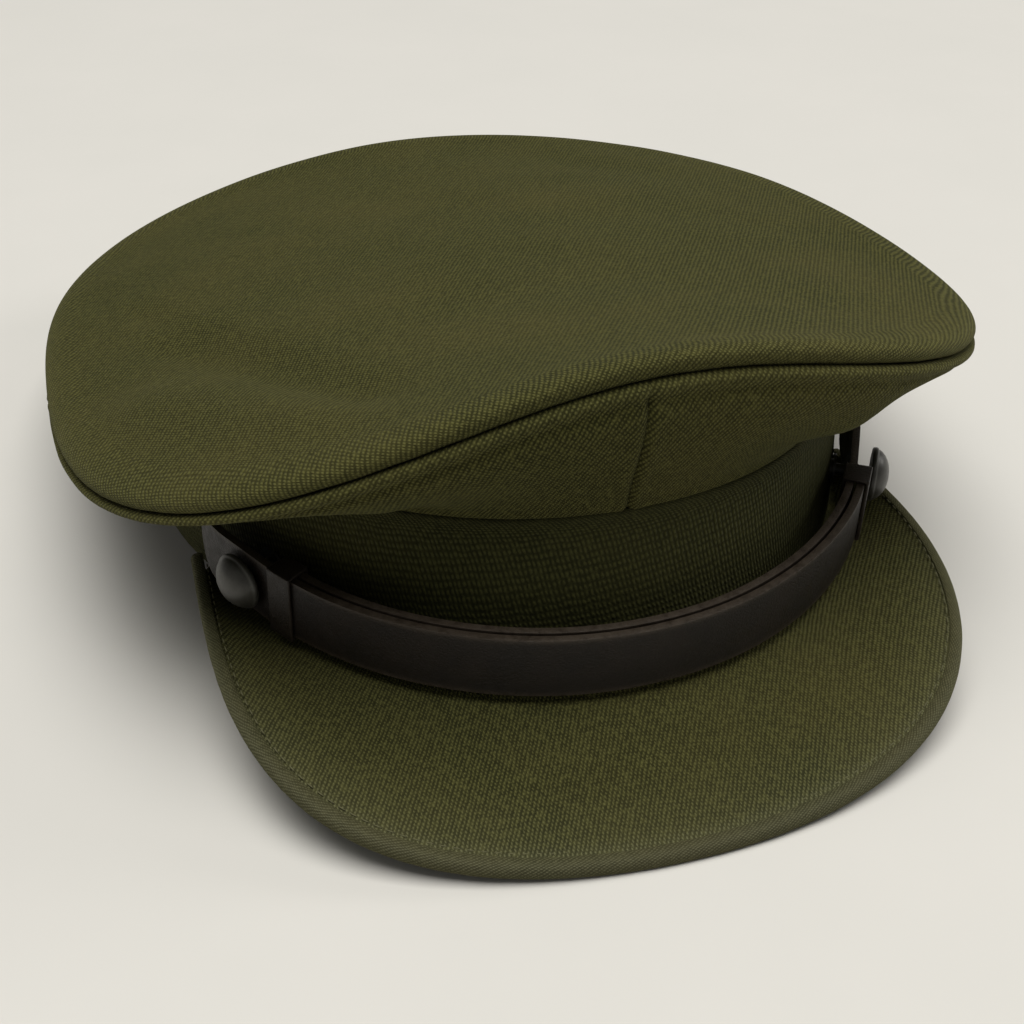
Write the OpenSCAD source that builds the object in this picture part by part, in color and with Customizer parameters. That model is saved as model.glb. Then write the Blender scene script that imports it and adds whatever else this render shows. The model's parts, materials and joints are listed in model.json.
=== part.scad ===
// Peaked service cap: cloth crown of four quarters and a top, cloth band, cloth covered peak,
// two-piece leather chin strap with sliding keepers and a domed button at each side.
// The cap is drawn level, with the band's lower edge at z = 0 and the peak towards -Y.
// standing() then tips it back until it rests on the peak's front edge and the rear of the band.

/* [Band] */
// Half width of the band outside, side to side
band_half_w = 84.5; // [78:0.5:92]
// Half length of the band outside, front to back
band_half_l = 103.5; // [97:0.5:112]
// How much smaller than the half width the radius of the front and rear arcs is
band_end_less = 14.5; // [12:0.5:20]
// Height of the band
band_h = 34; // [28:0.5:44]
// Thickness of the band's cloth
band_cloth_t = 1.4; // [1:0.1:2]
// Thickness of the stiff strip inside the band
stiffener_t = 1.2; // [0.8:0.1:1.6]
// Free space between the stiff strip and the sweatband
pin_gap = 2.2; // [2:0.1:4]
// Thickness of the leather sweatband
sweatband_t = 1; // [0.8:0.1:1.6]
// Height of the sweatband's turned-in hem
sweatband_hem = 1.2; // [1:0.1:2]

/* [Crown] */
// How far the crown's seam stands out past the band at each side
crown_flare_w = 26.5; // [20:0.5:34]
// How far the crown's seam stands out past the band, front and rear averaged
crown_flare_l = 24.5; // [18:0.5:32]
// How far the crown's centre lies behind the band's centre
crown_back = 9; // [4:0.5:14]
// Mean height of the crown seam over the band's upper edge
crown_rise = 7.3; // [6:0.1:16]
// How far the front of the seam stands above the rear, halved
front_lift = 11; // [7:0.5:15]
// How far front and rear stand above the drooping sides, halved
side_droop = 9.5; // [5:0.5:10.5]
// How far the right side stands above the left, halved
side_lean = 7.5; // [0:0.5:8]
// Rise of the crown's middle over its rolled edge
crown_dome = 7; // [6:0.5:14]
// Thickness of the crown cloth
cloth_t = 1.2; // [0.8:0.1:1.6]
// Radius of the stiff hoop inside the crown's edge
hoop_r = 1.3; // [0.8:0.1:1.3]

/* [Peak] */
// How much narrower than the band the peak is at each side
peak_inset = 1.5; // [0:0.5:3]
// Length of the peak at the middle, from the band
peak_len = 36; // [34:0.5:48]
// Drop of the peak's front edge below the band
peak_drop = 23; // [18:0.5:27]
// Rise of the peak's side edges above the band's lower edge
peak_flare = 4.5; // [2:0.5:5]
// Thickness of the cloth over and under the peak
peak_cloth_t = 0.8; // [0.6:0.1:1]
// Thickness of the peak's board
peak_board_t = 1.3; // [1:0.1:2]

/* [Chin strap] */
// Width of the strap
strap_w = 15; // [12:0.5:16]
// Thickness of each half of the strap
strap_t = 1.8; // [1.4:0.1:2]
// Space between the two halves
strap_gap = 0.6; // [0.4:0.1:0.8]
// Space between the inner half's straight ends and the band
strap_out = 3.77; // [3.67:0.1:6.67]
// Slope of the strap, down towards the front
strap_slope = 9.5; // [8:0.5:11]
// Height of the strap's lower edge over the band's where the straight ends begin
strap_over = 4.1; // [3.9:0.1:5.5]
// Angle from the middle of the front to the straight end
strap_end_a = 61.5; // [60:0.5:63]
// Length of the end past the front curve
tab_len = 24; // [21:0.5:28]
// Width of a keeper
keeper_w = 6.5; // [5:0.5:7]
// Leather thickness of a keeper
keeper_t = 0.8; // [0.6:0.1:1]
// Free space between strap and keeper
keeper_play = 0.15; // [0.1:0.05:0.2]
// Angle from the middle of the front to a keeper
keeper_a = 56.8; // [55:0.1:57]

/* [Buttons] */
// Radius of a button
button_r = 6.4; // [5.5:0.1:7]
// Height of a button's dome and rim together
button_h = 4.5; // [4:0.1:5]
// Radius of the button's shank
shank_r = 1.5; // [1.2:0.1:1.8]
// Radial running clearance of the shank in its eyelet
shank_play = 0.05; // [0.02:0.01:0.1]

/* [Hidden] */
$fn = 96;
eps = 0.01;
over = 1;              // how far a cutting tool runs past what it cuts

// Band oval: two end arcs and two side arcs that meet without a corner
band_end_r = band_half_w - band_end_less;
end_c = band_half_l - band_end_r;
side_r = (band_half_w ^ 2 + end_c ^ 2 - band_end_r ^ 2) / (2 * (band_half_w - band_end_r));
side_c = side_r - band_half_w;
meet_a = atan(side_c / end_c);
stiffener_off = band_cloth_t;
gap_off = stiffener_off + stiffener_t;
sweatband_off = gap_off + pin_gap;

// Crown: seam height with its third and fourth waves, roll above and below the seam
crown_half_w = band_half_w + crown_flare_w;
crown_half_l = band_half_l + crown_flare_l;
seam_z = band_h + crown_rise;
seam_wave_3 = 2.55;
seam_wave_4 = 2.6;
crown_square = 0.045;  // how much the oval of the crown is squared
crown_egg = 0.027;     // how much wider the front half is than the rear half
t_step = 9;
roll_h = 5;            // height of the rolled edge of the top over the seam
roll_out = [[0, 0], [1.2, 1.2], [1.4, 2.6], [0.5, 4.2]];
roll_in = [[-cloth_t, 0], [0, 1.3], [0.1, 2.4], [-0.4, 3.3]];
dome_rows = [0.975, 0.9, 0.72, 0.48, 0.24];
quarter_rows = [0, 0.25, 0.5, 0.7, 0.86, 1];
quarter_start = 20;    // upward pull of the quarter where it leaves the band
quarter_end = [16, 30]; // inward and upward pull of the quarter where it meets the seam
slope_t = 0.5;         // half steps at which a surface's slope is taken
slope_v = 0.02;
hoop_in = 4.4;
hoop_play = 0.5;       // space between the hoop and the crown top
hoop_sides = 6;
support_a = 36;        // the front support reaches this far each side of the middle
support_t = 0.7;
support_play = 0.6;    // space between the support's upper edge and the cloth
support_rows = [0, 0.25, 0.5, 0.7, 0.8];
lining_t = 0.5;
lining_in = 14;        // the lining's top seam lies this far inside the band
lining_drop = 3.2;     // space between crown top and lining
lining_rows = [0, 0.35, 0.7, 1];
lining_top_rows = [1, 0.7, 0.35];

// Peak: root line, ruled surface and bound edge
peak_half_w = band_half_w - peak_inset;
root_a = 71;
a_step = root_a / 12;
root_drop = 2.6;       // the surface turns down this far beside the band
root_out = 2;
peak_rows = [0, 0.3, 0.65, 1];
peak_end_y = 38;
peak_spread = 5 / 3;   // how the root's angles are shared out along the edge
peak_gather = 2.2;
peak_round = 0.415;    // how full the outline is between its middle and its ends
peak_sag = 1.6;        // drop of the edge halfway round each side
peak_dip = 1;          // the side edges come down again towards the rear ends
peak_dip_end = 13;     // how close to the ends that dip keeps
peak_taper = 2.5;      // and come in towards the band
peak_taper_end = 6;
peak_t = 2 * peak_cloth_t + peak_board_t;
bind_side = [[0, 0.3], [0.9, 0.1], [1.4, -0.7], [1.4, 0.7 - peak_t], [0.9, -0.1 - peak_t],
             [0, -0.3 - peak_t]];

// Strap, keeper and button radii from the strap's centre line
strap_y = -end_c;
band_reach = side_r - side_c * sin(strap_end_a) - end_c * cos(strap_end_a);
strap_r = band_reach + strap_out;
strap_z = strap_over + strap_w / 2 + strap_r * cos(strap_end_a) * sin(strap_slope);
outer_r = strap_r + strap_t + strap_gap;
strap_out_r = outer_r + strap_t;
button_base_r = strap_out_r + 1; // the button stands this far off the strap
button_x = 5.5;        // the button sits this far along the straight end
bend_x = 12;           // from here on the end bends to follow the band's side
bend_r = 26;
bend_a = (tab_len - bend_x) / bend_r * 180 / PI;
tip_a = strap_w / 2 / bend_r * 180 / PI;
end_past_keeper = 3.9; // degrees of strap beyond the keeper, to its free end
free_end_a = keeper_a + end_past_keeper;
strap_hole_r = shank_r + 1;
keeper_win_h = strap_w / 2 + keeper_play;
rim_h = 1.2;
dome_h = button_h - rim_h;
dome_r = (button_r ^ 2 + dome_h ^ 2) / (2 * dome_h);
// Distance along the button's axis at which it crosses the band's outer face
axis_p = [side_c + button_x * cos(strap_end_a),
          strap_y + button_x * sin(strap_end_a) * cos(strap_slope)];
axis_d = [sin(strap_end_a), -cos(strap_end_a) * cos(strap_slope)];
axis_b = axis_p * axis_d / (axis_d * axis_d);
band_cross_r = -axis_b + sqrt(axis_b ^ 2 - (axis_p * axis_p - side_r ^ 2) / (axis_d * axis_d));
eyelet_r = shank_r + 0.9;
flange_r = eyelet_r + 1.2;
flange_t = 0.5;
flange_lift = 0.55;    // the flange clears the curve of the band by this much
pin_r = 0.45;
pin_hole_r = 0.5;
pin_len = 8;
pin_back = 1.05;       // from the band's inner face to the pin's middle
pin_c_r = band_cross_r - gap_off - pin_back;
shank_end_r = pin_c_r - 0.7;

// ---- curves and surfaces ----
function unit(v) = v / norm(v);
function lerp(a, b, s) = a + (b - a) * s;
function out2(a) = [sin(a), -cos(a)];
// Point of the band oval whose outward normal points at angle a from the front, set off by d
function oval(a, d = 0) =
    abs(cos(a)) >= cos(meet_a)
        ? [0, -sign(cos(a)) * end_c] + (band_end_r + d) * out2(a)
        : [-sign(sin(a)) * side_c, 0] + (side_r + d) * out2(a);
// Normal angle of the oval's point that has the given share of the half width
function side_angle(x) =
    x <= band_end_r * sin(meet_a) ? asin(x / band_end_r) : asin(min(1, (x + side_c) / side_r));
function oval_angle(t) =
    let (a = side_angle(band_half_w * abs(sin(t))))
    sign(sin(t)) * (cos(t) >= 0 ? a : 180 - a) + (sin(t) == 0 && cos(t) < 0 ? 180 : 0);

function crown_xy(t, u) =
    let (k = u * (1 - crown_square * cos(4 * t)))
    [k * crown_half_w * sin(t) * (1 + crown_egg * cos(t)), crown_back - k * crown_half_l * cos(t)];
function crown_wave(t, u) =
    seam_z + u * (front_lift * cos(t) + side_lean * sin(t)) + u ^ 2 * side_droop * cos(2 * t)
    + u ^ 3 * seam_wave_3 * cos(3 * t) + u ^ 4 * seam_wave_4 * cos(4 * t);
function crown_out(t) = unit([sin(t) / crown_half_w, -cos(t) / crown_half_l]);
function seam_point(t, out = 0, up = 0) =
    let (xy = crown_xy(t, 1) + out * crown_out(t))
    [xy.x, xy.y, crown_wave(t, 1) + up];
function dome_point(t, u) =
    let (xy = crown_xy(t, u))
    [xy.x, xy.y, crown_wave(t, u) + roll_h + crown_dome * (1 - u ^ 2)];
function crown_z(x, y) =
    let (t = atan2(x / crown_half_w, (crown_back - y) / crown_half_l),
         k = norm([x / crown_half_w, (crown_back - y) / crown_half_l]),
         u = k / (1 - crown_square * cos(4 * t)))
    dome_point(t, u).z;

// Outer face of the side quarters: leaves the band upright and rolls in under the seam
function quarter_point(t, v) =
    let (o = oval(oval_angle(t)), e = crown_out(t),
         start = [0, 0, quarter_start],
         end = [-quarter_end.x * e.x, -quarter_end.x * e.y, quarter_end.y])
    (2 * v ^ 3 - 3 * v ^ 2 + 1) * [o.x, o.y, band_h] + (v ^ 3 - 2 * v ^ 2 + v) * start
    + (3 * v ^ 2 - 2 * v ^ 3) * seam_point(t) + (v ^ 3 - v ^ 2) * end;
function quarter_normal(t, v) =
    let (da = quarter_point(t + slope_t, v) - quarter_point(t - slope_t, v),
         dv = quarter_point(t, min(1, v + slope_v)) - quarter_point(t, max(0, v - slope_v)))
    unit(cross(da, dv));
// The same surface set inward by d
function quarter_in(t, v, d) =
    let (o = oval(oval_angle(t), -d))
    v == 0 ? [o.x, o.y, band_h]
    : v == 1 ? seam_point(t, -d)
    : quarter_point(t, v) - d * quarter_normal(t, v);

function peak_t_of(a) =
    let (w = (abs(a) / root_a) ^ peak_spread) 90 * sign(a) * (1 - (1 - w) ^ peak_gather);
function peak_edge(a) =
    let (t = peak_t_of(a), c = max(0, cos(t)))
    [(peak_half_w - peak_taper * (abs(a) / root_a) ^ peak_taper_end) * sin(t),
     -peak_end_y - (band_half_l + peak_len - peak_end_y) * c ^ peak_round,
     peak_flare - (peak_flare + peak_drop) * c - peak_sag * sin(2 * t) ^ 2
     - peak_dip * (abs(a) / root_a) ^ peak_dip_end];
function peak_root(a, d, z) = let (o = oval(a, d)) [o.x, o.y, z];
function peak_line(a) = concat(
    [peak_root(a, -gap_off, 0), peak_root(a, 0, 0)],
    [for (s = peak_rows) lerp(peak_root(a, root_out * cos(a), -root_drop * cos(a)), peak_edge(a), s)]);
function edge_out(a) =
    let (d = peak_edge(min(root_a, a + slope_t)) - peak_edge(max(-root_a, a - slope_t)))
    unit([d.y, -d.x]);
function bind_ring(a) =
    let (p = peak_edge(a), e = edge_out(a))
    [for (q = bind_side) [p.x + q.x * e.x, p.y + q.x * e.y, p.z + q.y]];

// ---- stance ----
stance_a = max([for (q = bind_ring(0)) atan(-q.z / (band_half_l - q.y))]);
stand_z = band_half_l * sin(stance_a);
function stood(p) = p.y * cos(stance_a) + p.z * sin(stance_a);
stand_y = -(min([for (q = bind_ring(0)) stood(q)])
            + max([for (q = roll_out) stood(seam_point(180, q.x, q.y))])) / 2;
module standing() {
    translate([0, stand_y, stand_z]) rotate([-stance_a, 0, 0]) children();
}

// ---- shared solids ----
// Closed sheet between two grids of points: rows of columns, wrapped round when ring is true.
// With two tips given, the last column closes to a point on each face.
module sheet(face, back, ring = false, tips = []) {
    ni = len(face);
    nj = len(face[0]);
    m = ni * nj;
    top = 2 * m;
    steps = ring ? ni : ni - 1;
    points = concat([for (r = face) for (p = r) p], [for (r = back) for (p = r) p], tips);
    skin = [for (i = [0:steps - 1], j = [0:nj - 2])
        let (a = i * nj + j, b = ((i + 1) % ni) * nj + j)
        each [[a, b, b + 1], [a, b + 1, a + 1],
              [m + a, m + b + 1, m + b], [m + a, m + a + 1, m + b + 1]]];
    low = [for (i = [0:steps - 1])
        let (a = i * nj, b = ((i + 1) % ni) * nj)
        each [[a, m + b, b], [a, m + a, m + b]]];
    high = [for (i = [0:steps - 1])
        let (a = i * nj + nj - 1, b = ((i + 1) % ni) * nj + nj - 1)
        each len(tips) == 2
            ? [[a, b, top], [m + b, m + a, top + 1]]
            : [[a, b, m + b], [a, m + b, m + a]]];
    ends = ring ? [] : [for (j = [0:nj - 2])
        let (a = j, b = (ni - 1) * nj + j)
        each [[a, a + 1, m + a + 1], [a, m + a + 1, m + a],
              [b, m + b, m + b + 1], [b, m + b + 1, b + 1]]];
    polyhedron(points, [for (f = concat(skin, low, high, ends)) [f[2], f[1], f[0]]], convexity = 6);
}
// Closed tube through rings of points, end to end or round
module tube(rings, round_trip = false) {
    n = len(rings);
    k = len(rings[0]);
    steps = round_trip ? n : n - 1;
    skin = [for (i = [0:steps - 1], j = [0:k - 1])
        let (a = i * k, b = ((i + 1) % n) * k, c = (j + 1) % k)
        each [[a + j, b + j, b + c], [a + j, b + c, a + c]]];
    caps = round_trip ? [] : [[for (j = [k - 1:-1:0]) (n - 1) * k + j], [for (j = [0:k - 1]) j]];
    polyhedron([for (r = rings) for (p = r) p], concat(skin, caps), convexity = 6);
}
module oval_2d(d) {
    meet_y = end_c + (band_end_r + d) * cos(meet_a);
    wide = 2 * (band_half_l + over);
    intersection() {
        translate([-side_c, 0]) circle(side_r + d);
        translate([side_c, 0]) circle(side_r + d);
        square([wide, 2 * meet_y], center = true);
    }
    for (s = [-1, 1]) translate([0, s * end_c]) circle(band_end_r + d);
}
module oval_ring(off_out, off_in, h) {
    difference() {
        linear_extrude(h) oval_2d(-off_out);
        translate([0, 0, -over]) linear_extrude(h + 2 * over) oval_2d(-off_in);
    }
}
module strap_plane() {
    translate([0, strap_y, strap_z]) rotate([strap_slope, 0, 0]) children();
}
module arc_wall(r_in, r_out, h, a_from, a_to) {
    rotate([0, 0, a_from - 90]) rotate_extrude(angle = a_to - a_from)
        translate([r_in, -h]) square([r_out - r_in, 2 * h]);
}
// Axis of a side's button: local Z runs outward from the strap's centre line
module button_axis(side) {
    strap_plane() rotate([0, 0, side * strap_end_a]) translate([side * button_x, 0, 0])
        rotate([90, 0, 0]) children();
}
module button_bores() {
    for (side = [-1, 1]) button_axis(side) translate([0, 0, shank_end_r - over])
        cylinder(r = eyelet_r, h = band_cross_r - shank_end_r + 3 * over);
}
// Half strap, buttoned at the right: curved run, straight part with its hole, bent and rounded end
module strap_half(r_in) {
    strap_plane() {
        arc_wall(r_in, r_in + strap_t, strap_w / 2, -free_end_a, strap_end_a);
        rotate([0, 0, strap_end_a]) {
            difference() {
                translate([0, -r_in - strap_t, -strap_w / 2]) cube([bend_x, strap_t, strap_w]);
                translate([button_x, over - r_in, 0]) rotate([90, 0, 0])
                    cylinder(r = strap_hole_r, h = strap_t + 2 * over);
            }
            translate([bend_x, bend_r - r_in, 0]) {
                arc_wall(bend_r, bend_r + strap_t, strap_w / 2, 0, bend_a - tip_a);
                intersection() {
                    arc_wall(bend_r, bend_r + strap_t, strap_w / 2, 0, bend_a + tip_a);
                    rotate([0, 0, bend_a - tip_a]) rotate([90, 0, 0])
                        cylinder(r = strap_w / 2, h = bend_r + strap_t + over);
                }
            }
        }
    }
}
module keeper(side) {
    half_a = keeper_w / 2 / strap_out_r * 180 / PI;
    in_r = strap_r - keeper_play;
    out_r = strap_out_r + keeper_play;
    strap_plane() rotate([0, 0, side * keeper_a]) difference() {
        arc_wall(in_r - keeper_t, out_r + keeper_t, keeper_win_h + keeper_t, -half_a, half_a);
        arc_wall(in_r, out_r, keeper_win_h, -2 * half_a, 2 * half_a);
    }
}
module quarter(t_from) {
    sheet([for (t = [t_from:t_step:t_from + 90]) [for (v = quarter_rows) quarter_point(t, v)]],
          [for (t = [t_from:t_step:t_from + 90]) [for (v = quarter_rows) quarter_in(t, v, cloth_t)]]);
}
module eyelet(side) {
    button_axis(side) difference() {
        union() {
            translate([0, 0, band_cross_r - gap_off + eps])
                cylinder(r = eyelet_r, h = gap_off + flange_lift);
            translate([0, 0, band_cross_r + flange_lift]) cylinder(r = flange_r, h = flange_t);
        }
        translate([0, 0, band_cross_r - gap_off - over])
            cylinder(r = shank_r + shank_play, h = gap_off + flange_lift + flange_t + 2 * over);
    }
}
module button(side) {
    button_axis(side) {
        translate([0, 0, button_base_r]) cylinder(r = button_r, h = rim_h);
        intersection() {
            translate([0, 0, button_base_r + button_h - dome_r]) sphere(dome_r);
            translate([0, 0, button_base_r + rim_h - eps]) cylinder(r = button_r, h = button_h);
        }
        difference() {
            translate([0, 0, shank_end_r]) cylinder(r = shank_r, h = button_base_r - shank_end_r + eps);
            translate([0, 0, pin_c_r]) rotate([0, 90, 0])
                cylinder(r = pin_hole_r, h = pin_len, center = true);
        }
    }
}
module split_pin(side) {
    button_axis(side) translate([0, 0, pin_c_r]) rotate([0, 90, 0])
        cylinder(r = pin_r, h = pin_len, center = true);
}
// One ply of the peak, from depth d0 to depth d1 under its upper surface
module peak_ply(d0, d1) {
    angles = [for (a = [-root_a:a_step:root_a]) a];
    sheet([for (a = angles) [for (p = peak_line(a)) p - [0, 0, d0]]],
          [for (a = angles) [for (p = peak_line(a)) p - [0, 0, d1]]]);
}

// ---- sub-parts ----
module crown_top() {
    ts = [0:t_step:360 - t_step];
    color("olivedrab") standing() sheet(
        [for (t = ts) concat([for (q = roll_out) seam_point(t, q.x, q.y)],
                             [for (u = dome_rows) dome_point(t, u)])],
        [for (t = ts) concat([for (q = roll_in) seam_point(t, q.x, q.y)],
                             [for (u = dome_rows) dome_point(t, u) - [0, 0, cloth_t]])],
        ring = true, tips = [dome_point(0, 0), dome_point(0, 0) - [0, 0, cloth_t]]);
}
module quarter_front_right() { color("darkolivegreen") standing() quarter(0); }
module quarter_rear_right() { color("darkolivegreen") standing() quarter(90); }
module quarter_rear_left() { color("darkolivegreen") standing() quarter(180); }
module quarter_front_left() { color("darkolivegreen") standing() quarter(270); }
module crown_hoop() {
    color("gainsboro") standing() tube([for (t = [0:t_step:360 - t_step])
        let (p = seam_point(t, -hoop_in), up = crown_z(p.x, p.y) - cloth_t - hoop_play - hoop_r - p.z)
        [for (s = [0:360 / hoop_sides:359])
            seam_point(t, hoop_r * cos(s) - hoop_in, up + hoop_r * sin(s))]], round_trip = true);
}
module front_support() {
    ts = [-support_a:t_step:support_a];
    near = gap_off - lining_t - support_t;
    color("burlywood") standing() sheet(
        [for (t = ts) [for (v = support_rows) quarter_in(t, v, near + support_play * v)]],
        [for (t = ts) [for (v = support_rows) quarter_in(t, v, near + support_t + support_play * v)]]);
}
// Point of the lining's side wall: inner is 0 on its outer face and 1 on its inner face
function lining_point(t, v, inner) =
    let (a = oval_angle(t),
         foot = oval(a, -(gap_off - lining_t + inner * lining_t)),
         head = oval(a, -gap_off - lining_in),
         head_z = crown_z(head.x, head.y) - cloth_t - lining_drop)
    let (s = v ^ 2)
    [lerp(foot.x, head.x, s), lerp(foot.y, head.y, s), lerp(band_h, head_z - inner * lining_t, v)];
module lining_side() {
    ts = [0:t_step:360 - t_step];
    color("dimgray") standing() sheet(
        [for (t = ts) [for (v = lining_rows) lining_point(t, v, 0)]],
        [for (t = ts) [for (v = lining_rows) lining_point(t, v, 1)]], ring = true);
}
function lining_top_point(t, u, inner) =
    let (p = lining_point(t, 1, inner), x = p.x * u, y = p.y * u)
    u == 1 ? p : [x, y, crown_z(x, y) - cloth_t - lining_drop - inner * lining_t];
module lining_top() {
    ts = [0:t_step:360 - t_step];
    color("dimgray") standing() sheet(
        [for (t = ts) [for (u = lining_top_rows) lining_top_point(t, u, 0)]],
        [for (t = ts) [for (u = lining_top_rows) lining_top_point(t, u, 1)]],
        ring = true, tips = [lining_top_point(0, 0, 0), lining_top_point(0, 0, 1)]);
}
module cap_band() {
    color("darkolivegreen") standing() difference() {
        oval_ring(0, stiffener_off, band_h);
        button_bores();
    }
}
module band_stiffener() {
    color("burlywood") standing() difference() {
        oval_ring(stiffener_off, gap_off, band_h);
        button_bores();
    }
}
module sweatband() {
    color("saddlebrown") standing() {
        oval_ring(sweatband_off, sweatband_off + sweatband_t, band_h - over);
        oval_ring(gap_off, sweatband_off + sweatband_t, sweatband_hem);
    }
}
module peak_cover() { color("darkolivegreen") standing() peak_ply(0, peak_cloth_t); }
module peak_board() { color("burlywood") standing() peak_ply(peak_cloth_t, peak_cloth_t + peak_board_t); }
module peak_lining() { color("olive") standing() peak_ply(peak_cloth_t + peak_board_t, peak_t); }
module peak_binding() {
    color("gray") standing() tube([for (a = [-root_a:a_step:root_a]) bind_ring(a)]);
}
module chin_strap_outer() { color("saddlebrown") standing() mirror([1, 0, 0]) strap_half(outer_r); }
module chin_strap_inner() { color("sienna") standing() strap_half(strap_r); }
module keeper_left() { color("saddlebrown") standing() keeper(-1); }
module keeper_right() { color("saddlebrown") standing() keeper(1); }
module eyelet_left() { color("gold") standing() eyelet(-1); }
module eyelet_right() { color("gold") standing() eyelet(1); }
module button_left() { color("dimgray") standing() button(-1); }
module button_right() { color("dimgray") standing() button(1); }
module split_pin_left() { color("gold") standing() split_pin(-1); }
module split_pin_right() { color("gold") standing() split_pin(1); }

crown_top();
quarter_front_left();
quarter_front_right();
quarter_rear_left();
quarter_rear_right();
crown_hoop();
front_support();
lining_side();
lining_top();
cap_band();
band_stiffener();
sweatband();
peak_cover();
peak_board();
peak_lining();
peak_binding();
chin_strap_outer();
chin_strap_inner();
keeper_left();
keeper_right();
eyelet_left();
eyelet_right();
button_left();
button_right();
split_pin_left();
split_pin_right();
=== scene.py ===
# %% [markdown]
# # A peaked cap in Blender
#
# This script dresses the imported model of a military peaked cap. The model brings every piece at its
# true size and place, and knows which pieces move. Cloth, leather and lacquer are what it lacks, so
# each soft piece is sewn again here with its seams, folds and weave, and rides on the same body.

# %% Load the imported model
import json
import math
import bpy
import bmesh
from mathutils import Matrix, Vector, noise


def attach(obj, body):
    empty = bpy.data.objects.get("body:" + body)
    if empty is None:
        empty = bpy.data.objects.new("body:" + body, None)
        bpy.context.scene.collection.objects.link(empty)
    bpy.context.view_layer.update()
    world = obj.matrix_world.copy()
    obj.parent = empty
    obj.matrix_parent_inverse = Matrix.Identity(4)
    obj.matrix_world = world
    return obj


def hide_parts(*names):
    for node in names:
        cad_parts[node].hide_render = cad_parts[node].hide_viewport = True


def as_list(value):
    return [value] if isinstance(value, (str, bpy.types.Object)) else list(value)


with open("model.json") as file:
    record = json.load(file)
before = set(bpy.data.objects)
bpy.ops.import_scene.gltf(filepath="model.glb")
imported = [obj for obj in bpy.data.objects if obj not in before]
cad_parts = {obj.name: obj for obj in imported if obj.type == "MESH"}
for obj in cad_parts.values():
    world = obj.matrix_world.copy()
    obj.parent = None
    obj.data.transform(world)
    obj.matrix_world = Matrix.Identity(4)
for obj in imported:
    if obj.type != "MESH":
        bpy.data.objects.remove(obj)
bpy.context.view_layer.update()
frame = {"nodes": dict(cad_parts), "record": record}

# %% [markdown]
# ## The cap's own level frame
#
# The cap rests tipped back on its peak and the rear of its band. A maker thinks of it level, with the
# band's lower edge at height 0, so shapes are worked out in millimetres in that level frame. The
# record's head opening says where the frame's origin went and which way down is.

# %% Turn level millimetres into places in the model
opening = frame["record"]["mounts"][0]
FOOT = Vector(opening["pos_m"])
UP = -Vector(opening["axis"]).normalized()
ACROSS = Vector((1, 0, 0))
BACK = UP.cross(ACROSS)


def place(x, y, z):
    return FOOT + (x * ACROSS + y * BACK + z * UP) / 1000


print("the cap leans back by", round(math.degrees(BACK.angle(Vector((0, 1, 0)))), 2), "degrees")

# %% [markdown]
# ## Helpers for sewn pieces
#
# Cut cloth is a flat panel that is pulled over a form. The same idea makes each piece here: a flat
# grid comes from bmesh, each of its vertices is moved to its place on the form, and the flat
# coordinates are kept as a UV map in metres, so the weave follows the cloth as a real one does.

# %% Small curves
def sin(degrees):
    return math.sin(math.radians(degrees))


def cos(degrees):
    return math.cos(math.radians(degrees))


def hump(x, middle, width):
    """A soft bump of height 1, as wide as the value given."""
    return math.exp(-((x - middle) / width) ** 2)


def mix(a, b, share):
    return a + (b - a) * share


def through(points, share):
    """The point at a share of a smooth line through the given points."""
    last = len(points) - 1
    i = min(int(share * last), last - 1)
    f = share * last - i
    a, b, c, d = (Vector(points[min(max(k, 0), last)]) for k in (i - 1, i, i + 1, i + 2))
    bend, twist = 2 * a - 5 * b + 4 * c - d, 3 * b - a - 3 * c + d
    return 0.5 * (2 * b + f * (c - a) + f * f * bend + f ** 3 * twist)


def crowded(share, ends=0.6):
    """Moves evenly spaced shares towards both ends, where seams need finer cloth."""
    return mix(share, 0.5 - 0.5 * math.cos(math.pi * share), ends)


def drift(p, size, seed=0.0):
    """Smooth unevenness from -1 to 1 with waves about as long as size, at a point in millimetres."""
    return noise.noise(Vector(p) / size + Vector((seed, 7.3 * seed, 0)))


# %% A panel of cloth wrapped on a form
def panel(name, across, along, form, cut, wear_and_highlight=None, outside=None):
    """A grid of across by along cells. form(s, t) is its place, cut(s, t) its flat place in mm,
    wear_and_highlight(s, t) how rubbed it is, which on leather also paints a highlight on its edges, and
    outside a point that its outer face looks away from."""
    bm = bmesh.new()
    bmesh.ops.create_grid(bm, x_segments=across, y_segments=along, size=0.5)
    uv = bm.loops.layers.uv.new("cloth")
    rubbed_and_highlit = bm.verts.layers.float.new("wear_and_highlight")
    shares = {v: (v.co.x + 0.5, v.co.y + 0.5) for v in bm.verts}
    for face in bm.faces:
        face.smooth = True
        for loop in face.loops:
            loop[uv].uv = [c / 1000 for c in cut(*shares[loop.vert])]
    for v, (s, t) in shares.items():
        v[rubbed_and_highlit] = wear_and_highlight(s, t) if wear_and_highlight else 0.0
        v.co = form(s, t)
    bmesh.ops.remove_doubles(bm, verts=bm.verts, dist=1e-6)
    bm.normal_update()
    if outside is not None:
        look = sum(f.normal.dot(f.calc_center_median() - outside) * f.calc_area() for f in bm.faces)
        if look < 0:
            bmesh.ops.reverse_faces(bm, faces=bm.faces)
    return as_object(name, bm)


def as_object(name, bm):
    mesh = bpy.data.meshes.new(name)
    bm.to_mesh(mesh)
    bm.free()
    piece = bpy.data.objects.new(name, mesh)
    bpy.context.scene.collection.objects.link(piece)
    return piece


def thicken(piece, thickness, side=-1.0):
    """Gives a panel its thickness in mm, to its inner side unless told otherwise."""
    wall = piece.modifiers.new("thickness", "SOLIDIFY")
    wall.thickness, wall.offset = thickness / 1000, side
    return piece


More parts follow.
